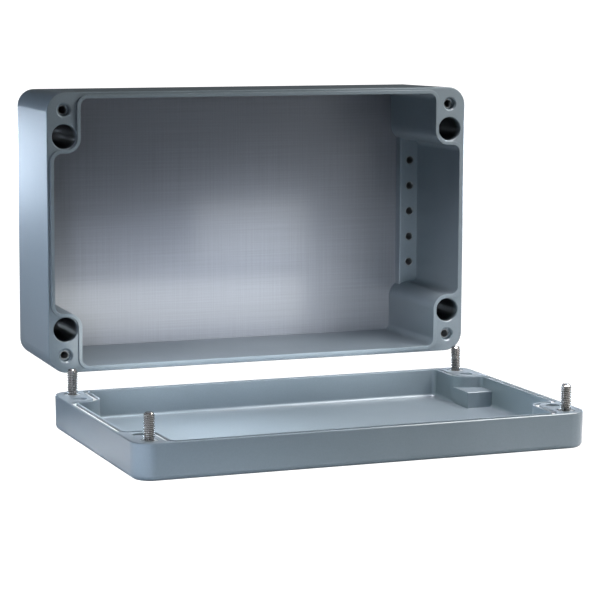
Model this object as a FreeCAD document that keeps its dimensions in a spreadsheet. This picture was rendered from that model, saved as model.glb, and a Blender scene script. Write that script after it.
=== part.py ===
import FreeCAD, Part
import math
import os
import Sketcher

# A die-cast aluminium enclosure for wall mounting, shown open. The base lies with its back
# against the wall plane y = 0 and its mouth towards -Y. The lid has been taken off and lies
# in front of it and lower, rim up, with its four captive screws standing through it.
# The origin is the centre of the four wall-mounting holes on the back face, +Z is up.
# Lengths are in millimetres, angles in degrees.

SIZES = {
    # Both castings share this outline at the rim, where they meet
    "overall_length": 260.0,
    "overall_width": 160.0,
    "base_depth": 70.0,
    "lid_height": 20.0,
    "corner_radius": 11.0,
    "draft_angle": 1.0,
    "outer_edge_radius": 3.0,
    "rim_break": 0.4,
    # Walls
    "base_wall": 3.6,
    "base_floor": 7.0,
    "lid_land": 1.4,
    "lid_floor": 4.0,
    "lid_floor_fillet": 2.0,
    # Corner posts, one contour round the two hole axes in each corner
    "hole_inset": 10.0,
    "hole_step": 15.0,
    "post_cover": 9.5,
    "post_corner_radius": 8.5,
    "post_root_radius": 4.5,
    # Raised lip of the base and the gasket groove of the lid that takes it
    "lip_height": 1.3,
    "lip_width": 2.0,
    "groove_clearance": 0.4,
    "groove_depth": 3.0,
    "gasket_clearance": 0.1,
    "gasket_squeeze": 0.1,
    # Lid screws, M6
    "screw_diameter": 6.0,
    "screw_length": 30.0,
    "screw_tip_chamfer": 1.0,
    "head_diameter": 10.0,
    "head_height": 3.9,
    "slot_width": 1.6,
    "slot_depth": 1.6,
    "screw_clearance": 0.3,
    "head_clearance": 0.6,
    "head_sink": 4.5,
    # Threaded holes for the lid screws in the base, with a plain relief at the mouth
    "screw_core_diameter": 5.0,
    "screw_core_depth": 22.0,
    "screw_relief_gap": 0.5,
    "screw_relief_depth": 3.0,
    "screw_countersink": 0.8,
    # Retaining ring on each screw, in a relief in the lid's rim
    "ring_wall": 1.4,
    "ring_thickness": 1.2,
    "ring_side_clearance": 0.25,
    "ring_sink": 0.2,
    "ring_seat_gap": 0.1,
    # Wall-mounting holes, a deep bore for the screwdriver and a through hole in its floor
    "wall_bore_diameter": 14.0,
    "wall_bore_chamfer": 0.4,
    "wall_hole_diameter": 6.6,
    "wall_seat": 8.0,
    # Mounting ledges on the end walls, each with a row of M6 threaded holes
    "ledge_height": 6.0,
    "ledge_width": 12.9,
    "ledge_edge_radius": 0.8,
    "ledge_hole_inset": 10.0,
    "ledge_hole_core": 5.0,
    "ledge_hole_depth": 9.5,
    "ledge_hole_pitch": 16.0,
    # Details of the lid
    "recess_diameter": 8.0,
    "recess_depth": 0.9,
    "block_reach": 25.0,
    "block_drop": 6.5,
    "block_edge_radius": 0.6,
    # Where the lid lies: clear of the base's lip and below its lower side
    "lid_gap": 1.7,
    "lid_drop": 10.0,
}
LEDGE_HOLES = 5
RIGHT_ANGLE = 90
COUNTERSINK_ANGLE = 45
TOLERANCE = 1e-4

# Places worked out from the sheet
HALF_LENGTH = "(Sizes.overall_length / 2)"
HALF_WIDTH = "(Sizes.overall_width / 2)"
COLUMN = f"({HALF_LENGTH} - Sizes.hole_inset)"
SCREW_ROW = f"({HALF_WIDTH} - Sizes.hole_inset)"
WALL_ROW = f"({SCREW_ROW} - Sizes.hole_step)"
POST_X = f"({COLUMN} - Sizes.post_cover)"
POST_Y = f"({WALL_ROW} - Sizes.post_cover)"
BASE_CAVITY = "(Sizes.base_depth - Sizes.base_floor)"
LID_CAVITY = "(Sizes.lid_height - Sizes.lid_floor)"
LEDGE_TOP = f"(Sizes.ledge_height - {BASE_CAVITY})"
LEDGE_INNER = f"({HALF_LENGTH} - Sizes.base_wall - Sizes.ledge_width)"
LEDGE_COLUMN = f"({HALF_LENGTH} - Sizes.ledge_hole_inset)"
SCREW_HOLE_RADIUS = "(Sizes.screw_diameter / 2 + Sizes.screw_clearance)"
CORE_RADIUS = "(Sizes.screw_core_diameter / 2)"
RELIEF_RADIUS = "(Sizes.screw_diameter / 2 + Sizes.screw_relief_gap)"
WALL_BORE_RADIUS = "(Sizes.wall_bore_diameter / 2)"
RING_RADIUS = "(Sizes.screw_diameter / 2 + Sizes.ring_wall)"
RING_RELIEF = "(Sizes.ring_sink + Sizes.ring_thickness + Sizes.ring_seat_gap)"
LID_Y = f"(-Sizes.base_depth - Sizes.lip_height - Sizes.lid_gap - {HALF_WIDTH})"
LID_Z = f"(-{HALF_WIDTH} - Sizes.lid_drop)"
SCREW_SEAT = "(Sizes.head_sink - Sizes.lid_height)"

doc = FreeCAD.newDocument("die_cast_box")
sheet = doc.addObject("Spreadsheet::Sheet", "Sizes")
for row, (alias, size) in enumerate(SIZES.items(), start=1):
    sheet.set(f"A{row}", alias)
    sheet.set(f"B{row}", str(size))
    sheet.setAlias(f"B{row}", alias)
doc.recompute()


def amount(expression):
    """The number that an expression on the sheet gives."""
    return float(sheet.evalExpression(expression))


def new_body(name):
    body = doc.addObject("PartDesign::Body", name)
    body.Label = name
    return body


def plane_of(body, role):
    return next(feature for feature in body.Origin.OriginFeatures if feature.Role == role)


def new_sketch(body, name, height="0", plane="XY_Plane"):
    """An empty sketch on one of the body's own planes, raised from it by the height."""
    sketch = body.newObject("Sketcher::SketchObject", name)
    sketch.AttachmentSupport = [(plane_of(body, plane), "")]
    sketch.MapMode = "FlatFace"
    sketch.setExpression(".AttachmentOffset.Base.z", height)
    return sketch


def dimension(sketch, kind, elements, expression):
    """A dimension of a sketch, bound to the sheet."""
    index = sketch.addConstraint(Sketcher.Constraint(kind, *elements, amount(expression)))
    sketch.setExpression(f"Constraints[{index}]", expression)


def place_point(sketch, geometry, point, x=None, y=None):
    """Fixes a point's distances from the sketch's origin."""
    if x is not None:
        dimension(sketch, "DistanceX", (-1, 1, geometry, point), x)
    if y is not None:
        dimension(sketch, "DistanceY", (-1, 1, geometry, point), y)


def add_polygon(sketch, corners):
    """A closed loop of straight lines through (x, y) expressions."""
    points = [FreeCAD.Vector(amount(x), amount(y), 0) for x, y in corners]
    count = len(points)
    lines = []
    for index in range(count):
        segment = Part.LineSegment(points[index], points[(index + 1) % count])
        lines.append(sketch.addGeometry(segment, False))
    for index, (x, y) in enumerate(corners):
        sketch.addConstraint(Sketcher.Constraint("Coincident", lines[index - 1], 2, lines[index], 1))
        place_point(sketch, lines[index], 1, x, y)


def add_rounded_loop(sketch, corners):
    """A closed loop of upright and level lines joined by tangent arcs.

    Each corner is (x, y, radius) in expressions, in order, turning anticlockwise overall.
    """
    count = len(corners)
    points = [FreeCAD.Vector(amount(x), amount(y), 0) for x, y, radius in corners]
    radii = [amount(radius) for x, y, radius in corners]
    ahead = [(points[(index + 1) % count] - points[index]).normalize() for index in range(count)]
    arcs = []
    for index in range(count):
        before = points[index] - ahead[index - 1] * radii[index]
        after = points[index] + ahead[index] * radii[index]
        centre = before + ahead[index] * radii[index]
        left_turn = ahead[index - 1].cross(ahead[index]).z > 0
        first, last = (before, after) if left_turn else (after, before)
        angles = [math.atan2(end.y - centre.y, end.x - centre.x) for end in (first, last)]
        circle = Part.Circle(centre, FreeCAD.Vector(0, 0, 1), radii[index])
        arc = sketch.addGeometry(Part.ArcOfCircle(circle, *angles), False)
        dimension(sketch, "Radius", (arc,), corners[index][2])
        arcs.append((arc, before, after, 1 if left_turn else 2))
    for index in range(count):
        arc, before, after, entry = arcs[index]
        next_arc, next_before, next_after, next_entry = arcs[(index + 1) % count]
        line = sketch.addGeometry(Part.LineSegment(after, next_before), False)
        upright = abs(ahead[index].x) < TOLERANCE
        sketch.addConstraint(Sketcher.Constraint("Vertical" if upright else "Horizontal", line))
        sketch.addConstraint(Sketcher.Constraint("Tangent", line, 1, arc, 3 - entry))
        sketch.addConstraint(Sketcher.Constraint("Tangent", line, 2, next_arc, next_entry))
        x, y, radius = corners[index]
        if upright:
            place_point(sketch, line, 1, x=x)
        else:
            place_point(sketch, line, 1, y=y)


def add_outline(sketch):
    """The rounded rectangle that both castings share at the rim."""
    radius = "Sizes.corner_radius"
    corners = [(HALF_LENGTH, f"-{HALF_WIDTH}"), (HALF_LENGTH, HALF_WIDTH)]
    corners += [(f"-{HALF_LENGTH}", HALF_WIDTH), (f"-{HALF_LENGTH}", f"-{HALF_WIDTH}")]
    add_rounded_loop(sketch, [(x, y, radius) for x, y in corners])


def add_contour(sketch, offset="0"):
    """The inside of the walls and the four corner posts, moved outwards by an offset."""
    wall_x = f"({HALF_LENGTH} - Sizes.base_wall + ({offset}))"
    wall_y = f"({HALF_WIDTH} - Sizes.base_wall + ({offset}))"
    post_x = f"({POST_X} + ({offset}))"
    post_y = f"({POST_Y} + ({offset}))"
    root = f"(Sizes.post_root_radius + ({offset}))"
    corner = f"(Sizes.post_corner_radius - ({offset}))"
    quarter = [(wall_x, post_y, root), (post_x, post_y, corner), (post_x, wall_y, root)]
    back = [(f"-{x}", y, radius) for x, y, radius in reversed(quarter)]
    loop = quarter + back
    loop += [(f"-{x}", f"-{y}", radius) for x, y, radius in quarter]
    loop += [(x, f"-{y}", radius) for x, y, radius in reversed(quarter)]
    add_rounded_loop(sketch, loop)


def add_circles(sketch, centres, radius):
    for x, y in centres:
        circle = Part.Circle(FreeCAD.Vector(amount(x), amount(y), 0), FreeCAD.Vector(0, 0, 1), amount(radius))
        geometry = sketch.addGeometry(circle, False)
        place_point(sketch, geometry, 3, x, y)
        dimension(sketch, "Radius", (geometry,), radius)


def four_corners(x, y):
    return [(sx + x, sy + y) for sx in ("", "-") for sy in ("", "-")]


def pad(body, sketch, length, down=False, taper=None):
    feature = body.newObject("PartDesign::Pad", sketch.Name.replace("_sketch", "_pad"))
    feature.Profile = sketch
    feature.setExpression("Length", length)
    feature.Reversed = down
    if taper:
        feature.setExpression("TaperAngle", taper)
    doc.recompute()
    return feature


def pocket(body, sketch, depth, up=False, taper=None):
    """Cuts a sketch into the body and makes sure that something was cut."""
    volume = body.Shape.Volume
    feature = body.newObject("PartDesign::Pocket", sketch.Name.replace("_sketch", "_pocket"))
    feature.Profile = sketch
    feature.setExpression("Length", depth)
    feature.Reversed = up
    if taper:
        feature.setExpression("TaperAngle", taper)
    doc.recompute()
    assert body.Shape.Volume < volume - TOLERANCE, f"{feature.Name} cuts nothing"
    return feature


def dress(body, kind, name, size, chosen):
    """A Fillet or Chamfer on the edges of the body that the test chooses."""
    shape = body.Tip.Shape
    edges = [f"Edge{index}" for index, edge in enumerate(shape.Edges, start=1) if chosen(edge)]
    assert edges, f"{name} finds no edge"
    base = body.Tip
    feature = body.newObject(f"PartDesign::{kind}", name)
    feature.Base = (base, edges)
    feature.setExpression("Radius" if kind == "Fillet" else "Size", size)
    doc.recompute()
    return feature


def lies_at(height):
    """A test for edges that lie wholly at one height."""
    level = amount(height)

    def test(edge):
        box = edge.BoundBox
        return abs(box.ZMin - level) < TOLERANCE and abs(box.ZMax - level) < TOLERANCE

    return test


def drilled(body, name, centres, radius, depth, countersink=None, height="0"):
    """Holes sunk from a height, with a countersink whose width past the hole is given."""
    if countersink:
        mouth = new_sketch(body, f"{name}_mouth_sketch", height)
        add_circles(mouth, centres, f"({radius} + {countersink})")
        pocket(body, mouth, countersink, taper=f"-{COUNTERSINK_ANGLE}")
    sketch = new_sketch(body, f"{name}_sketch", height)
    add_circles(sketch, centres, radius)
    pocket(body, sketch, depth)


def make_casting(name, height, cavity, contour_offset):
    """What both castings have: drafted outer walls, rounded outer edges and the cavity.

    The rim lies at z = 0 of the casting's own frame and the outer face below it.
    """
    body = new_body(name)
    outline = new_sketch(body, f"{name}_outline_sketch")
    add_outline(outline)
    pad(body, outline, height, down=True, taper="-Sizes.draft_angle")
    dress(body, "Fillet", f"{name}_outer_edge", "Sizes.outer_edge_radius", lies_at(f"-{height}"))
    dress(body, "Chamfer", f"{name}_rim_break", "Sizes.rim_break", lies_at("0"))
    inside = new_sketch(body, f"{name}_cavity_sketch")
    add_contour(inside, contour_offset)
    pocket(body, inside, cavity, taper="-Sizes.draft_angle")
    return body


def make_base():
    body = make_casting("base", "Sizes.base_depth", BASE_CAVITY, "0")

    # Raised lip round the mouth and the posts
    lip = new_sketch(body, "lip_sketch")
    add_contour(lip)
    add_contour(lip, "Sizes.lip_width")
    pad(body, lip, "Sizes.lip_height")

    # Ledges on the end walls, run into the wall and the posts beside them
    ledges = new_sketch(body, "ledges_sketch", f"-{BASE_CAVITY}")
    outer = f"({HALF_LENGTH} - Sizes.base_wall / 2)"
    end = f"({POST_Y} + Sizes.post_cover / 2)"
    for side in ("", "-"):
        inner_x = side + LEDGE_INNER
        outer_x = side + outer
        add_polygon(ledges, [(inner_x, f"-{end}"), (outer_x, f"-{end}"), (outer_x, end), (inner_x, end)])
    pad(body, ledges, "Sizes.ledge_height")

    def ledge_edge(edge):
        inner = amount(LEDGE_INNER)
        return lies_at(LEDGE_TOP)(edge) and abs(abs(edge.CenterOfMass.x) - inner) < TOLERANCE

    dress(body, "Fillet", "ledge_edges", "Sizes.ledge_edge_radius", ledge_edge)

    rows = [f"({index - LEDGE_HOLES // 2} * Sizes.ledge_hole_pitch)" for index in range(LEDGE_HOLES)]
    ledge_centres = [(side + LEDGE_COLUMN, y) for side in ("", "-") for y in rows]
    drilled(body, "ledge_holes", ledge_centres, "(Sizes.ledge_hole_core / 2)", "Sizes.ledge_hole_depth",
            height=LEDGE_TOP)

    # Lid screw holes: a countersunk relief wider than the screw, and the thread core
    screw_centres = four_corners(COLUMN, SCREW_ROW)
    drilled(body, "screw_reliefs", screw_centres, RELIEF_RADIUS, "Sizes.screw_relief_depth",
            countersink="Sizes.screw_countersink")
    drilled(body, "screw_cores", screw_centres, CORE_RADIUS, "Sizes.screw_core_depth")

    # Wall-mounting holes: bore from the rim down to the seat, then through the back
    wall_centres = four_corners(COLUMN, WALL_ROW)
    drilled(body, "wall_bores", wall_centres, WALL_BORE_RADIUS, "(Sizes.base_depth - Sizes.wall_seat)",
            countersink="Sizes.wall_bore_chamfer")
    drilled(body, "wall_holes", wall_centres, "(Sizes.wall_hole_diameter / 2)", "Sizes.base_depth")

    body.Placement = FreeCAD.Placement(
        FreeCAD.Vector(), FreeCAD.Rotation(FreeCAD.Vector(1, 0, 0), RIGHT_ANGLE))
    body.setExpression(".Placement.Base.y", "-Sizes.base_depth")
    return body


def place_with_lid(body, x="0", y="0", z="0"):
    """Puts a piece at a place given in the lid's own frame."""
    body.setExpression(".Placement.Base.x", x)
    body.setExpression(".Placement.Base.y", f"{LID_Y} + {y}")
    body.setExpression(".Placement.Base.z", f"{LID_Z} + {z}")


def make_lid():
    body = make_casting("lid", "Sizes.lid_height", LID_CAVITY, "-Sizes.lid_land")
    dress(body, "Fillet", "lid_floor_fillet", "Sizes.lid_floor_fillet", lies_at(f"-{LID_CAVITY}"))

    # Terminal block beside the rear right post, flush with the post's inner side
    block = new_sketch(body, "block_sketch", f"-{LID_CAVITY}")
    left = f"({POST_X} - Sizes.lid_land)"
    right = f"({HALF_LENGTH} - Sizes.base_wall / 2)"
    front = f"({WALL_ROW} - Sizes.block_reach)"
    behind = f"({POST_Y} + Sizes.post_cover)"
    add_polygon(block, [(left, front), (right, front), (right, behind), (left, behind)])
    pad(body, block, f"({LID_CAVITY} - Sizes.block_drop)")

    def block_edge(edge):
        box = edge.BoundBox
        on_front = abs(box.YMin - amount(front)) < TOLERANCE and box.YLength < TOLERANCE
        return on_front and lies_at("-Sizes.block_drop")(edge)

    dress(body, "Fillet", "block_edge", "Sizes.block_edge_radius", block_edge)

    # Groove that takes the gasket and the base's lip
    groove = new_sketch(body, "groove_sketch")
    add_contour(groove, "-Sizes.groove_clearance")
    add_contour(groove, "Sizes.lip_width + Sizes.groove_clearance")
    pocket(body, groove, "Sizes.groove_depth")

    # Shallow recesses over the heads of the wall screws
    drilled(body, "recesses", four_corners(COLUMN, WALL_ROW), "(Sizes.recess_diameter / 2)",
            "Sizes.recess_depth")

    # Screw holes with a relief for the retaining ring and a sunk seat for the head
    centres = four_corners(COLUMN, SCREW_ROW)
    drilled(body, "screw_holes", centres, SCREW_HOLE_RADIUS, "Sizes.lid_height")
    drilled(body, "ring_reliefs", centres, f"({RING_RADIUS} + Sizes.ring_side_clearance)", RING_RELIEF)
    seats = new_sketch(body, "head_seats_sketch", "-Sizes.lid_height")
    add_circles(seats, centres, "(Sizes.head_diameter / 2 + Sizes.head_clearance)")
    pocket(body, seats, "Sizes.head_sink", up=True)

    place_with_lid(body)
    return body


def make_gasket():
    """A flat cord of silicone that fills the groove up to the lip."""
    body = new_body("lid_gasket")
    ring = new_sketch(body, "gasket_sketch", "-Sizes.groove_depth")
    add_contour(ring, "Sizes.gasket_clearance - Sizes.groove_clearance")
    add_contour(ring, "Sizes.lip_width + Sizes.groove_clearance - Sizes.gasket_clearance")
    pad(body, ring, "(Sizes.groove_depth - Sizes.lip_height + Sizes.gasket_squeeze)")
    place_with_lid(body)
    return body


def make_screw(name, x, y):
    """A slotted cheese head screw, tip up, with its bearing face at z = 0 of its own frame."""
    body = new_body(name)
    profile = new_sketch(body, f"{name}_profile_sketch", plane="XZ_Plane")
    head = "(Sizes.head_diameter / 2)"
    shank = "(Sizes.screw_diameter / 2)"
    tip = "Sizes.screw_tip_chamfer"
    corners = [("0", "-Sizes.head_height"), (head, "-Sizes.head_height"), (head, "0"), (shank, "0")]
    corners += [(shank, f"(Sizes.screw_length - {tip})"), (f"({shank} - {tip})", "Sizes.screw_length")]
    corners += [("0", "Sizes.screw_length")]
    add_polygon(profile, corners)
    turned = body.newObject("PartDesign::Revolution", f"{name}_turned")
    turned.Profile = profile
    turned.ReferenceAxis = (profile, ["V_Axis"])
    doc.recompute()
    slot = new_sketch(body, f"{name}_slot_sketch", "-Sizes.head_height")
    half_slot = "(Sizes.slot_width / 2)"
    across = "Sizes.head_diameter"
    add_polygon(slot, [(f"-{across}", f"-{half_slot}"), (across, f"-{half_slot}"),
                       (across, half_slot), (f"-{across}", half_slot)])
    pocket(body, slot, "Sizes.slot_depth", up=True)
    place_with_lid(body, x, y, SCREW_SEAT)
    return body


def make_ring(name, x, y):
    """The retaining ring that keeps a screw in the lid, gripping its thread in the relief."""
    body = new_body(name)
    section = new_sketch(body, f"{name}_sketch", "-Sizes.ring_sink - Sizes.ring_thickness")
    add_circles(section, [("0", "0")], RING_RADIUS)
    add_circles(section, [("0", "0")], "(Sizes.screw_diameter / 2)")
    pad(body, section, "Sizes.ring_thickness")
    place_with_lid(body, x, y)
    return body


CORNERS = {
    "rear_left": (f"-{COLUMN}", SCREW_ROW),
    "rear_right": (COLUMN, SCREW_ROW),
    "front_left": (f"-{COLUMN}", f"-{SCREW_ROW}"),
    "front_right": (COLUMN, f"-{SCREW_ROW}"),
}
subparts = [make_base(), make_lid(), make_gasket()]
for corner, (x, y) in CORNERS.items():
    subparts.append(make_screw(f"lid_screw_{corner}", x, y))
    subparts.append(make_ring(f"retaining_ring_{corner}", x, y))
doc.recompute()

failed = [item.Name for item in doc.Objects if {"Invalid", "Error"} & set(item.State)]
assert not failed, f"failed objects: {failed}"
os.makedirs("parts", exist_ok=True)
for subpart in subparts:
    shape = subpart.Shape
    assert not shape.isNull() and shape.isValid() and len(shape.Solids) == 1, f"{subpart.Label} is not one solid"
for subpart in subparts:
    subpart.Shape.exportStep(f"parts/{subpart.Label}.step")
    box = subpart.Shape.BoundBox
    print(subpart.Label, f"{subpart.Shape.Volume:.1f} mm3", f"{box.XLength:.2f} x {box.YLength:.2f} x {box.ZLength:.2f}")
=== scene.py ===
from math import pi, radians

import bpy
from mathutils import Matrix, Vector


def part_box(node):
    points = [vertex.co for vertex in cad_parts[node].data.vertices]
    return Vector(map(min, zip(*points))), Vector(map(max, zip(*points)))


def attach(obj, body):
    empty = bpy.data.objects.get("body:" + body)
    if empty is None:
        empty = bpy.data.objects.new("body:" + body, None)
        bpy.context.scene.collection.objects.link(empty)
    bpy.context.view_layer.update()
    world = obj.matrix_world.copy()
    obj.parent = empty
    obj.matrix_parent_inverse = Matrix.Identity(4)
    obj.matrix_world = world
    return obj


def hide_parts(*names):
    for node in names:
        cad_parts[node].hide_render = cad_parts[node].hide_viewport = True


# An open die-cast box: the deep base has its back in the wall plane and its mouth to the viewer,
# and the lid lies in front of it, rim up, with its four captive screws standing in it.
# Lengths are in metres, written as millimetres times MM. The constants' angles are in degrees.

MM = 0.001

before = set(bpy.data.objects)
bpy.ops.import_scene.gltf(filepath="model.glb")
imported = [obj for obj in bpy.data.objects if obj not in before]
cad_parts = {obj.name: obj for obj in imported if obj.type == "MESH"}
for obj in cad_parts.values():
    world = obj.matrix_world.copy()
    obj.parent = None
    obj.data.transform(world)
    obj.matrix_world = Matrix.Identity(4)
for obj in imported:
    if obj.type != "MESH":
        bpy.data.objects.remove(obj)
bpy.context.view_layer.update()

CORNERS = ("rear_left", "rear_right", "front_left", "front_right")

# The lid screws: M6, 30 mm long, with a slotted cheese head sunk in the lid's underside.
SCREW_DIAMETER = 6 * MM
SCREW_PITCH = 1 * MM
SCREW_LENGTH = 30 * MM
NECK_LENGTH = 3 * MM
TIP_CHAMFER = 1 * MM
HEAD_DIAMETER = 10 * MM
HEAD_HEIGHT = 3.9 * MM
SLOT_WIDTH = 1.6 * MM
SLOT_DEPTH = 1.6 * MM
SLOT_TURNS = {"rear_left": 20, "rear_right": 75, "front_left": 130, "front_right": 155}
HEAD_FACETS = 72
SHANK_IN_HEAD = 0.2  # how far the shank reaches into the head, as a share of the head's height
CUTTER_REACH = 1.2  # the slot's cutter, as a share of the head's diameter

# The tapped M6 holes of the base: one under each lid screw and a row in each mounting ledge.
TAPPED_CORE = 5 * MM
HOLES_ACROSS = 240 * MM
LID_HOLE_MOUTH = -67 * MM
LID_HOLE_THREAD = 17 * MM
LID_HOLES_UP = 140 * MM
LID_HOLE_ROWS = 2
LEDGE_HOLE_MOUTH = -13 * MM
LEDGE_HOLE_THREAD = 8.5 * MM
LEDGE_HOLES_UP = 64 * MM
LEDGE_HOLE_ROWS = 5

# Threads. Depths are shares of the pitch: a screw's thread from its crest inward, and a hole's
# from its core outward into the wall and inward to the crest. Steps are those of one turn.
SCREW_THREAD_DEPTH = 0.6134
HOLE_THREAD_OUT, HOLE_THREAD_IN = 0.03, 0.24
SCREW_STEPS, HOLE_STEPS = 40.0, 24.0
RIBBON_POINTS = 5
OUTER_MIDDLE = 2.5  # the outer flat lies between points 2 and 3 of the ribbon
OUTER_LEAN = 0.0625  # and both lean to its middle by this share of the pitch
TURNS_BEFORE, TURNS_SPARE = 2.0, 5.0  # a ribbon's turns before its start, and spare in all
WELD_DISTANCE = 0.002 * MM
CRISP_ANGLE = 25

# The range that nearly all of a noise lies in.
NOISE_LOW, NOISE_HIGH = 0.3, 0.7

# The powder coat, and the ground floor of the base under it.
FLOOR_DEPTH, FLOOR_BAND = -7 * MM, 0.3 * MM
PAINT_DARK, PAINT_LIGHT, PAINT_METAL = "#74818a", "#7c8992", 0.25
FLOOR_DARK, FLOOR_LIGHT, FLOOR_METAL = "#72767e", "#7c8088", 0.45
PAINT_SMOOTHEST, PAINT_ROUGHEST, FLOOR_ROUGHER = 0.38, 0.44, 0.04
FLAKE_SIZE, CLOUD_SIZE = 0.9 * MM, 35 * MM
PEEL_SIZE, PEEL_HEIGHT, PEEL_STRENGTH = 2.6 * MM, 0.03 * MM, 0.35
GRIND_SIZE, GRIND_STRETCH = 0.7 * MM, 0.012
EDGE_RADIUS = 0.45 * MM

# The four deep bores for the wall screws. Their painted shade sets in between mouth and shade
# depth, and stops just short of the back face.
BORE_ACROSS, BORE_UP = 120 * MM, 55 * MM
BORE_RADIUS = 7.3 * MM
BORE_MOUTH, BORE_SHADE, BORE_END = -69.5 * MM, -64 * MM, -0.5 * MM
# The colour of the painted shade deep in the bores.
PAINTED_BORE_SHADE = "#1d2124"

# The pale board under the lid, a hair below it.
TABLE_HEIGHT, TABLE_GAP = -110 * MM, 0.05 * MM
TABLE_HALF = 4000 * MM

# The camera: place in millimetres, the two directions that hold it, sensor and lens in
# millimetres, and the nearest and farthest distance seen, in metres.
CAMERA_PLACE = (-477.3, -1323.4, 142.7)
CAMERA_AHEAD = (0.3677, 0.9198, -0.1374)
CAMERA_ABOVE = (0.0461, 0.1295, 0.9905)
CAMERA_SENSOR, CAMERA_LENS = 36, 138.06
CAMERA_NEAR, CAMERA_FAR = 0.05, 50

# The white surroundings: how strongly they light the box, and how bright they look behind it.
WORLD_LIT, WORLD_SEEN = 0.01, 1.2

# Softboxes: name, place, target and size in millimetres, power in watts, colour and beam angle.
STUDIO_LIGHTS = (
    ("over_right", (450, -320, 450), (0, -60, -40), (300, 300), 4.6, "#fffcf6"),
    ("over_left", (-300, -60, 500), (-100, -60, 0), (300, 500), 0.25, "#f4f8ff"),
    ("white_wall", (600, 1500, 300), (100, 0, 0), (3000, 1200), 0.4, "#eef4ff"),
    ("white_wall_foot", (500, 900, -60), (0, 0, -60), (2000, 90), 12.0, "#dfeeff"),
    ("left_of_lid", (-800, 0, -60), (-130, -150, -100), (400, 60), 0.06, "#e4f0ff", 30),
    ("left_of_base", (-450, 100, 70), (-130, -35, 0), (200, 160), 0.1, "#dcebff", 30),
    ("left_front", (-560, -1100, 60), (-125, -228, -90), (150, 250), 0.05, "#e4ecff", 14),
    ("left_of_corner", (-260, -290, 100), (-200, -260, -110), (60, 60), 0.1, "#e4eeff", 30),
    ("right_front", (900, -1300, 0), (60, -60, 0), (400, 500), 1.0, "#ffffff"),
    ("over_lid_left", (-75, -150, 150), (-70, -150, -105), (110, 110), 0.145, "#fffdff", 40),
    ("over_lid_right", (120, -150, 150), (110, -150, -105), (120, 120), 0.14, "#fff3f5", 60),
    ("in_lid", (-100, -150, 0), (120, -150, -100), (100, 60), 0.025, "#ecfff4", 60),
    ("before_lid", (0, -700, 200), (0, -235, -100), (400, 100), 0.025, "#b4e8ff", 30),
    ("high_in_mouth", (70, -150, -25), (60, -7, -35), (80, 40), 0.011, "#f9feff", 90),
    ("middle_in_mouth", (20, -150, -45), (20, -7, -50), (150, 60), 0.012, "#d8e4ff", 80),
    ("low_in_mouth", (0, -130, -70), (0, -7, -60), (200, 30), 0.031, "#fefffb", 80),
)


def linear(colour):
    """An sRGB hex colour as linear RGBA."""
    parts = [int(colour[place : place + 2], 16) / 255 for place in (1, 3, 5)]
    return (*(v / 12.92 if v <= 0.04045 else ((v + 0.055) / 1.055) ** 2.4 for v in parts), 1)


# Nodes


def add(tree, kind, inputs=None, **settings):
    """Adds a node with its settings; an input is a value or the socket that feeds it."""
    made = tree.nodes.new(kind)
    for name, value in settings.items():
        setattr(made, name, value)
    for socket, value in (inputs or {}).items():
        if isinstance(value, bpy.types.NodeSocket):
            tree.links.new(value, made.inputs[socket])
        else:
            made.inputs[socket].default_value = value
    return made


def maths(tree):
    """A function that adds one math node to this tree and gives its result."""

    def calc(operation, *values):
        return add(tree, "ShaderNodeMath", dict(enumerate(values)), operation=operation).outputs[0]

    return calc


def noise(tree, place, size, detail):
    """Noise from 0 to 1, with patches of about this size."""
    inputs = {"Vector": place, "Scale": 1 / size, "Detail": detail}
    return add(tree, "ShaderNodeTexNoise", inputs).outputs["Fac"]


def spread(tree, value, low, high, to_low, to_high):
    """A value's range laid over another range and held at its ends."""
    ends = {"From Min": low, "From Max": high, "To Min": to_low, "To Max": to_high}
    return add(tree, "ShaderNodeMapRange", {"Value": value, **ends}).outputs[0]


def mixed(tree, share, first, second):
    """The first colour with a share of the second."""
    inputs = {0: share, 6: first, 7: second}
    return add(tree, "ShaderNodeMix", inputs, data_type="RGBA").outputs[2]


def vector(tree, **parts):
    """A vector of the parts given, and 0 for the others."""
    return add(tree, "ShaderNodeCombineXYZ", parts).outputs[0]


def moved(tree, geometry, place, turn=(0.0, 0.0, 0.0)):
    """Geometry turned about the origin and then set at a place."""
    inputs = {"Geometry": geometry, "Translation": place, "Rotation": turn}
    return add(tree, "GeometryNodeTransform", inputs).outputs[0]


# Materials


def new_material(name):
    """An empty material."""
    material = bpy.data.materials.new(name)
    material.use_nodes = True
    material.node_tree.nodes.clear()
    return material


def surfaced(material, inputs):
    """The material, closed with one principled surface."""
    tree = material.node_tree
    surface = add(tree, "ShaderNodeBsdfPrincipled", inputs)
    add(tree, "ShaderNodeOutputMaterial", {"Surface": surface.outputs[0]})
    return material


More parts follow.
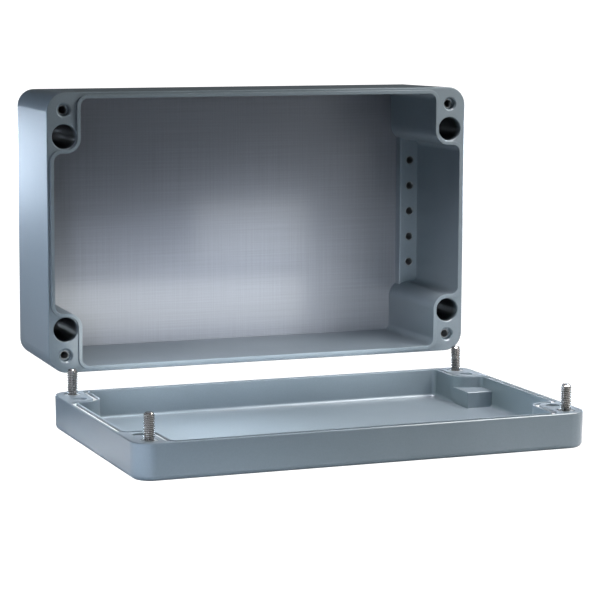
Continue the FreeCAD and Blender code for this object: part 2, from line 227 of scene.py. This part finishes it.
def powder_coated_casting():
    """Die-cast aluminium under a silver-grey powder coat with fine aluminium flake, baked on.

    To the eye: a smooth satin grey with a cool cast and a glossy skin that mirrors what stands
    close, a very shallow orange peel a few millimetres across, and softly rounded edges where
    the coat flows round them. The flat floor of the base is more neutral and more metallic, with
    the faint crossed lines of the ground die face under the coat. Inside the deep bores for the
    wall screws the colour is painted shade, darker and less metallic deeper in.
    """
    material = new_material("powder_coated_casting")
    tree = material.node_tree
    calc = maths(tree)
    place = add(tree, "ShaderNodeTexCoord").outputs["Object"]
    across, depth, up = add(tree, "ShaderNodeSeparateXYZ", {0: place}).outputs

    def ground_lines(stretch):
        """Fine straight lines, drawn out along the way that is stretched."""
        drawn = add(tree, "ShaderNodeMapping", {"Vector": place, "Scale": stretch}).outputs[0]
        return noise(tree, drawn, GRIND_SIZE, detail=1.0)

    def squared(value):
        return calc("MULTIPLY", value, value)

    def blend(value, dark, light):
        """Two colours, mixed by the sum of two noises."""
        share = spread(tree, value, 2 * NOISE_LOW, 2 * NOISE_HIGH, 0.0, 1.0)
        return mixed(tree, share, linear(dark), linear(light))

    on_floor = calc("COMPARE", depth, FLOOR_DEPTH, FLOOR_BAND)
    # Painted shade in the wall-screw bores: a mask near their axes that grows with depth from the
    # mouth.
    off_across = calc("SUBTRACT", calc("ABSOLUTE", across), BORE_ACROSS)
    off_up = calc("SUBTRACT", calc("ABSOLUTE", up), BORE_UP)
    off_axis = calc("ADD", squared(off_across), squared(off_up))
    near_axis = calc("LESS_THAN", off_axis, BORE_RADIUS**2)
    before_end = calc("LESS_THAN", depth, BORE_END)
    shade = spread(tree, depth, BORE_MOUTH, BORE_SHADE, 0.0, 1.0)
    painted_bore_shade = calc("MULTIPLY", near_axis, calc("MULTIPLY", before_end, shade))

    flake = noise(tree, place, FLAKE_SIZE, detail=3.0)
    clouds = noise(tree, place, CLOUD_SIZE, detail=2.0)
    lines = calc("ADD", ground_lines((GRIND_STRETCH, 1, 1)), ground_lines((1, 1, GRIND_STRETCH)))
    paint = blend(calc("ADD", clouds, flake), PAINT_DARK, PAINT_LIGHT)
    floor = blend(lines, FLOOR_DARK, FLOOR_LIGHT)
    metallic = spread(tree, on_floor, 0.0, 1.0, PAINT_METAL, FLOOR_METAL)
    rough = spread(tree, flake, NOISE_LOW, NOISE_HIGH, PAINT_SMOOTHEST, PAINT_ROUGHEST)
    rounded = add(tree, "ShaderNodeBevel", {"Radius": EDGE_RADIUS}, samples=6).outputs[0]
    peel = add(
        tree,
        "ShaderNodeBump",
        {
            "Strength": PEEL_STRENGTH,
            "Distance": PEEL_HEIGHT,
            "Height": noise(tree, place, PEEL_SIZE, detail=1.0),
            "Normal": rounded,
        },
    )
    open_coat = mixed(tree, on_floor, paint, floor)
    return surfaced(
        material,
        {
            # Painted shade darkens the coat inside the bores and takes its metal away.
            "Base Color": mixed(tree, painted_bore_shade, open_coat, linear(PAINTED_BORE_SHADE)),
            "Metallic": calc("MULTIPLY", metallic, calc("SUBTRACT", 1.0, painted_bore_shade)),
            "Roughness": calc("ADD", rough, calc("MULTIPLY", on_floor, FLOOR_ROUGHER)),
            "IOR": 1.5,
            "Coat Weight": 0.5,
            "Coat Roughness": 0.15,
            "Normal": peel.outputs[0],
        },
    )


def bare_metal(name, patch, detail, dark, light, smoothest, roughest):
    """Bare metal that is darker and smoother in some patches, lighter and rougher in others."""
    material = new_material(name)
    tree = material.node_tree
    place = add(tree, "ShaderNodeTexCoord").outputs["Object"]
    wear = noise(tree, place, patch, detail)
    return surfaced(
        material,
        {
            "Base Color": mixed(tree, wear, linear(dark), linear(light)),
            "Metallic": 1.0,
            "Roughness": spread(tree, wear, NOISE_LOW, NOISE_HIGH, smoothest, roughest),
        },
    )


def stainless_steel():
    """Stainless steel, thread rolled and head turned.

    To the eye: bright metal with hard highlights along the thread's flanks, a little rougher in
    patches.
    """
    return bare_metal(
        "rolled_stainless_steel",
        patch=1.5 * MM,
        detail=3.0,
        dark="#a2a09e",
        light="#b2b0ae",
        smoothest=0.2,
        roughest=0.28,
    )


def cut_aluminium():
    """Bare die-cast aluminium where a tap has cut it.

    To the eye: dull bright metal, mottled by the tool.
    """
    return bare_metal(
        "tapped_bare_aluminium",
        patch=0.6 * MM,
        detail=2.0,
        dark="#8f9193",
        light="#b4b6b8",
        smoothest=0.3,
        roughest=0.45,
    )


def moulded(name, dark, light, rough):
    """A moulded polymer: even in colour, with a soft low sheen and a fine grain in its skin."""
    material = new_material(name)
    tree = material.node_tree
    place = add(tree, "ShaderNodeTexCoord").outputs["Object"]
    skin = noise(tree, place, 0.5 * MM, detail=2.0)
    grain = {"Strength": 0.3, "Distance": 0.02 * MM, "Height": skin}
    return surfaced(
        material,
        {
            "Base Color": mixed(tree, skin, linear(dark), linear(light)),
            "Roughness": rough,
            "IOR": 1.45,
            "Normal": add(tree, "ShaderNodeBump", grain).outputs[0],
        },
    )


def silicone_rubber():
    """Pale grey silicone rubber, moulded as a cord."""
    return moulded("silicone_rubber", dark="#c9cdcf", light="#dfe3e4", rough=0.45)


def grey_polyamide():
    """Grey polyamide, moulded."""
    return moulded("grey_polyamide", dark="#9ba1a5", light="#a7adb1", rough=0.4)


def white_board():
    """Matt white board."""
    inputs = {"Base Color": linear("#f2f4f6"), "Roughness": 0.9}
    return surfaced(new_material("white_board"), inputs)


# Geometry trees


def new_tree(name, **sizes):
    """A geometry tree with named inputs, and the socket of each."""
    tree = bpy.data.node_groups.new(name, "GeometryNodeTree")
    kinds = {float: "NodeSocketFloat", int: "NodeSocketInt", tuple: "NodeSocketVector"}
    for size, value in sizes.items():
        kind = kinds.get(type(value), "NodeSocketMaterial")
        socket = tree.interface.new_socket(size, in_out="INPUT", socket_type=kind)
        socket.default_value = value
    tree.interface.new_socket("Geometry", in_out="OUTPUT", socket_type="NodeSocketGeometry")
    given = tree.nodes.new("NodeGroupInput")
    return tree, {size: given.outputs[size] for size in sizes}


def crisp(tree, geometry):
    """Smooth shading, with every edge that bends more than CRISP_ANGLE kept crisp."""
    smooth = add(tree, "GeometryNodeSetShadeSmooth", {"Geometry": geometry, "Shade Smooth": True})
    bend = add(tree, "GeometryNodeInputMeshEdgeAngle").outputs["Unsigned Angle"]
    sharp = maths(tree)("GREATER_THAN", bend, radians(CRISP_ANGLE))
    inputs = {"Geometry": smooth.outputs[0], "Selection": sharp, "Shade Smooth": False}
    return add(tree, "GeometryNodeSetShadeSmooth", inputs, domain="EDGE").outputs[0]


def close_tree(tree, geometry, material):
    """Ends a tree: real geometry, crisp shading and its material."""
    real = add(tree, "GeometryNodeRealizeInstances", {"Geometry": geometry}).outputs[0]
    inputs = {"Geometry": crisp(tree, real), "Material": material}
    coated = add(tree, "GeometryNodeSetMaterial", inputs).outputs[0]
    tree.links.new(coated, tree.nodes.new("NodeGroupOutput").inputs[0])


def thread_strip(tree, pitch, outer, inner, start, stop, steps, limit=None):
    """A ribbon along a helix that makes a whole thread: inner flat, flank, outer flat, flank.

    Five points across the ribbon give an inner flat of a quarter pitch, an outer flat of an
    eighth and two flanks between the two radii, and its last edge meets the first edge of the
    next turn. What runs past an end is pressed into that end's plane. Where a limit is given, it
    holds the radius at each height, and each end is drawn to the axis, which closes it.
    """
    calc = maths(tree)
    turns = calc("ADD", calc("DIVIDE", calc("SUBTRACT", stop, start), pitch), TURNS_SPARE)
    count = calc("ADD", calc("MULTIPLY", calc("CEIL", turns), steps), 1.0)
    ribbon = add(tree, "GeometryNodeMeshGrid", {"Vertices X": count, "Vertices Y": RIBBON_POINTS})
    index = add(tree, "GeometryNodeInputIndex").outputs[0]
    along = calc("FLOOR", calc("DIVIDE", calc("ADD", index, 0.5), float(RIBBON_POINTS)))
    across = calc("SUBTRACT", index, calc("MULTIPLY", along, float(RIBBON_POINTS)))
    # 0, 1/4, 9/16, 11/16 and 1 pitch across the ribbon
    lean = calc("MULTIPLY", calc("SIGN", calc("SUBTRACT", OUTER_MIDDLE, across)), OUTER_LEAN)
    on_outer = calc("LESS_THAN", calc("ABSOLUTE", calc("SUBTRACT", across, OUTER_MIDDLE)), 1.0)
    share = calc("DIVIDE", across, RIBBON_POINTS - 1.0)
    share = calc("ADD", share, calc("MULTIPLY", lean, on_outer))
    wound = calc("DIVIDE", along, steps)
    angle = calc("MULTIPLY", wound, 2 * pi)
    rise = calc("MULTIPLY", calc("ADD", calc("SUBTRACT", wound, TURNS_BEFORE), share), pitch)
    height = calc("ADD", rise, start)
    pressed = calc("MINIMUM", calc("MAXIMUM", height, start), stop)
    radius = calc("ADD", inner, calc("MULTIPLY", calc("SUBTRACT", outer, inner), on_outer))
    if limit:
        past_start = calc("GREATER_THAN", height, calc("SUBTRACT", start, pitch))
        before_stop = calc("LESS_THAN", height, calc("ADD", stop, pitch))
        radius = calc("MINIMUM", radius, limit(pressed))
        radius = calc("MULTIPLY", radius, calc("MULTIPLY", past_start, before_stop))
    x = calc("MULTIPLY", radius, calc("COSINE", angle))
    y = calc("MULTIPLY", radius, calc("SINE", angle))
    inputs = {"Geometry": ribbon.outputs["Mesh"], "Position": vector(tree, X=x, Y=y, Z=pressed)}
    wound_up = add(tree, "GeometryNodeSetPosition", inputs).outputs[0]
    inputs = {"Geometry": wound_up, "Distance": WELD_DISTANCE}
    return add(tree, "GeometryNodeMergeByDistance", inputs).outputs[0]


def slotted_head(tree, given):
    """The screw's head, from 0 down to its height, with the slot cut across its lower end."""
    calc = maths(tree)
    radius = calc("DIVIDE", given["Head diameter"], 2.0)
    size = {"Vertices": HEAD_FACETS, "Radius": radius, "Depth": given["Head height"]}
    head = add(tree, "GeometryNodeMeshCylinder", size).outputs["Mesh"]
    head = moved(tree, head, vector(tree, Z=calc("DIVIDE", given["Head height"], -2.0)))
    block = vector(
        tree,
        X=calc("MULTIPLY", given["Head diameter"], CUTTER_REACH),
        Y=given["Slot width"],
        Z=calc("MULTIPLY", given["Slot depth"], 2.0),
    )
    cutter = add(tree, "GeometryNodeMeshCube", {"Size": block}).outputs["Mesh"]
    cutter = moved(tree, cutter, vector(tree, Z=calc("MULTIPLY", given["Head height"], -1.0)))
    slotted = add(
        tree,
        "GeometryNodeMeshBoolean",
        {"Mesh 1": head, "Mesh 2": cutter},
        operation="DIFFERENCE",
        solver="EXACT",
    )
    return slotted.outputs[0]


def screw_tree(steel):
    """One slotted cheese head screw, threaded from its neck to its tip."""
    tree, given = new_tree(
        "slotted_captive_screw",
        **{
            "Diameter": SCREW_DIAMETER,
            "Pitch": SCREW_PITCH,
            "Length": SCREW_LENGTH,
            "Neck length": NECK_LENGTH,
            "Tip chamfer": TIP_CHAMFER,
            "Head diameter": HEAD_DIAMETER,
            "Head height": HEAD_HEIGHT,
            "Slot width": SLOT_WIDTH,
            "Slot depth": SLOT_DEPTH,
            "Turn": 0.0,
            "Seat": (0.0, 0.0, 0.0),
            "Steel": steel,
        },
    )
    calc = maths(tree)
    crest = calc("DIVIDE", given["Diameter"], 2.0)
    root = calc("SUBTRACT", crest, calc("MULTIPLY", given["Pitch"], SCREW_THREAD_DEPTH))

    def limit(height):
        """No more than the root's radius on the neck, and less towards the chamfered tip."""
        below_tip = calc("SUBTRACT", given["Length"], height)
        tip = calc("ADD", calc("SUBTRACT", crest, given["Tip chamfer"]), below_tip)
        on_neck = calc("LESS_THAN", height, given["Neck length"])
        past_neck = calc("SUBTRACT", 1.0, on_neck)
        neck = calc("ADD", root, calc("MULTIPLY", past_neck, given["Diameter"]))
        return calc("MINIMUM", tip, neck)

    start = calc("MULTIPLY", given["Head height"], -SHANK_IN_HEAD)
    shank = thread_strip(
        tree, given["Pitch"], crest, root, start, given["Length"], SCREW_STEPS, limit
    )
    whole = add(tree, "GeometryNodeJoinGeometry")
    tree.links.new(slotted_head(tree, given), whole.inputs[0])
    tree.links.new(shank, whole.inputs[0])
    stood = moved(tree, whole.outputs[0], given["Seat"], vector(tree, Z=given["Turn"]))
    close_tree(tree, stood, given["Steel"])
    return tree


def tapped_tree(metal):
    """The threads of a pattern of tapped holes, which run back from their mouths.

    Each is a low ridge round the wall of a core hole that the frame has.
    """
    tree, given = new_tree(
        "tapped_holes",
        **{
            "Core diameter": TAPPED_CORE,
            "Pitch": SCREW_PITCH,
            "Threaded depth": LID_HOLE_THREAD,
            "Mouth": LID_HOLE_MOUTH,
            "Holes across": HOLES_ACROSS,
            "Holes up": LID_HOLES_UP,
            "Rows": LID_HOLE_ROWS,
            "Metal": metal,
        },
    )
    calc = maths(tree)
    core = calc("DIVIDE", given["Core diameter"], 2.0)
    root = calc("ADD", core, calc("MULTIPLY", given["Pitch"], HOLE_THREAD_OUT))
    crest = calc("SUBTRACT", core, calc("MULTIPLY", given["Pitch"], HOLE_THREAD_IN))
    thread = thread_strip(
        tree, given["Pitch"], root, crest, 0.0, given["Threaded depth"], HOLE_STEPS
    )
    inward = add(tree, "GeometryNodeFlipFaces", {"Mesh": thread}).outputs[0]
    holes = add(
        tree,
        "GeometryNodeMeshGrid",
        {
            "Size X": given["Holes across"],
            "Size Y": given["Holes up"],
            "Vertices X": 2,
            "Vertices Y": given["Rows"],
        },
    )
    inputs = {"Points": holes.outputs["Mesh"], "Instance": inward}
    copies = add(tree, "GeometryNodeInstanceOnPoints", inputs).outputs[0]
    turned = moved(tree, copies, vector(tree, Y=given["Mouth"]), (-pi / 2, 0.0, 0.0))
    close_tree(tree, turned, given["Metal"])
    return tree


def linked(name, data):
    """An object of this data, in the scene."""
    made = bpy.data.objects.new(name, data)
    bpy.context.scene.collection.objects.link(made)
    return made


def made_by(tree, name, **sizes):
    """Runs a geometry tree with these sizes and keeps the result as a plain mesh object."""
    draft = linked(name + "_draft", bpy.data.meshes.new(name + "_draft"))
    maker = draft.modifiers.new("maker", "NODES")
    maker.node_group = tree
    for socket in tree.interface.items_tree:
        if socket.in_out == "INPUT" and socket.name in sizes:
            maker[socket.identifier] = sizes[socket.name]
    ready = draft.evaluated_get(bpy.context.evaluated_depsgraph_get())
    mesh = bpy.data.meshes.new_from_object(ready)
    mesh.name = name
    draft.modifiers.clear()
    bpy.data.objects.remove(draft)
    return linked(name, mesh)


# Pieces


def coat(slot, material):
    """Gives a material to every frame node that the record puts in this slot."""
    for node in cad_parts.values():
        for held in node.material_slots:
            if held.material and held.material.name.split(".")[0] == slot:
                held.material = material


def stand_screws(steel):
    """The four captive lid screws with their rolled threads."""
    tree = screw_tree(steel)
    for corner in CORNERS:
        node = "lid_screw_" + corner
        low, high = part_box(node)
        seat = Vector(((low.x + high.x) / 2, (low.y + high.y) / 2, high.z - SCREW_LENGTH))
        turn = radians(SLOT_TURNS[corner])
        screw = made_by(tree, "captive_screw_" + corner, Turn=turn, Seat=seat, Steel=steel)
        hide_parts(node)
        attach(screw, "screw_" + corner)


def tap_holes(metal):
    """Threads in the base: four for the lid screws and five in each mounting ledge."""
    tree = tapped_tree(metal)
    lid_threads = made_by(tree, "lid_screw_threads_in_base", Metal=metal)
    ledge_threads = made_by(
        tree,
        "ledge_threads_in_base",
        **{
            "Threaded depth": LEDGE_HOLE_THREAD,
            "Mouth": LEDGE_HOLE_MOUTH,
            "Holes up": LEDGE_HOLES_UP,
            "Rows": LEDGE_HOLE_ROWS,
            "Metal": metal,
        },
    )
    for threads in (lid_threads, ledge_threads):
        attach(threads, "base")


# Studio


def lay_table():
    """The pale surface that the lid lies on.

    It is lit and mirrored. In the picture the white surroundings take its place, so that the
    ground is one even white, as in the photograph.
    """
    mesh = bpy.data.meshes.new("table")
    below = TABLE_HEIGHT - TABLE_GAP
    sides = ((-1, -1), (1, -1), (1, 1), (-1, 1))
    corners = [(x * TABLE_HALF, y * TABLE_HALF, below) for x, y in sides]
    mesh.from_pydata(corners, [], [(0, 1, 2, 3)])
    table = linked("table", mesh)
    mesh.materials.append(white_board())
    table.visible_camera = False


def set_camera():
    """A long lens, left of the box and a little above it."""
    camera = bpy.data.cameras.new("camera")
    camera.sensor_width = CAMERA_SENSOR
    camera.lens = CAMERA_LENS
    camera.clip_start = CAMERA_NEAR
    camera.clip_end = CAMERA_FAR
    seat = Vector(CAMERA_PLACE) * MM
    ahead = Vector(CAMERA_AHEAD).normalized()
    right = ahead.cross(Vector(CAMERA_ABOVE)).normalized()
    above = right.cross(ahead)
    held = linked("camera", camera)
    turn = Matrix((right, above, -ahead)).transposed().to_4x4()
    held.matrix_world = Matrix.Translation(seat) @ turn
    bpy.context.scene.camera = held


def soft_light(name, place, target, size, watts, colour, spread_angle=180):
    """A rectangular softbox at a place, aimed at a target, both in millimetres.

    It lights and is mirrored, but is not seen itself, and a small spread angle narrows its beam.
    """
    light = bpy.data.lights.new(name, "AREA")
    light.shape = "RECTANGLE"
    light.size, light.size_y = (side * MM for side in size)
    light.energy = watts
    light.color = linear(colour)[:3]
    light.spread = radians(spread_angle)
    lamp = linked(name, light)
    lamp.visible_camera = False
    away = (Vector(place) - Vector(target)) * MM
    lamp.rotation_euler = away.to_track_quat("Z", "Y").to_euler()
    lamp.location = Vector(place) * MM


def light_studio():
    """White surroundings and softboxes.

    The large ones stand over the box, at its left, at its right front and as a lit wall behind
    it. The small ones hang over and before the lid, and before the mouth of the base.
    """
    world = bpy.data.worlds.new("studio")
    world.use_nodes = True
    tree = world.node_tree
    tree.nodes.clear()
    seen = add(tree, "ShaderNodeLightPath").outputs["Is Camera Ray"]
    strength = spread(tree, seen, 0.0, 1.0, WORLD_LIT, WORLD_SEEN)
    inputs = {"Color": linear("#ffffff"), "Strength": strength}
    glow = add(tree, "ShaderNodeBackground", inputs).outputs[0]
    add(tree, "ShaderNodeOutputWorld", {"Surface": glow})
    bpy.context.scene.world = world
    for light in STUDIO_LIGHTS:
        soft_light(*light)
    bpy.context.scene.view_settings.view_transform = "Standard"
    bpy.context.scene.view_settings.look = "None"


steel = stainless_steel()
metal = cut_aluminium()
coat("casting", powder_coated_casting())
coat("gasket", silicone_rubber())
coat("ring_plastic", grey_polyamide())
stand_screws(steel)
tap_holes(metal)
lay_table()
set_camera()
light_studio()
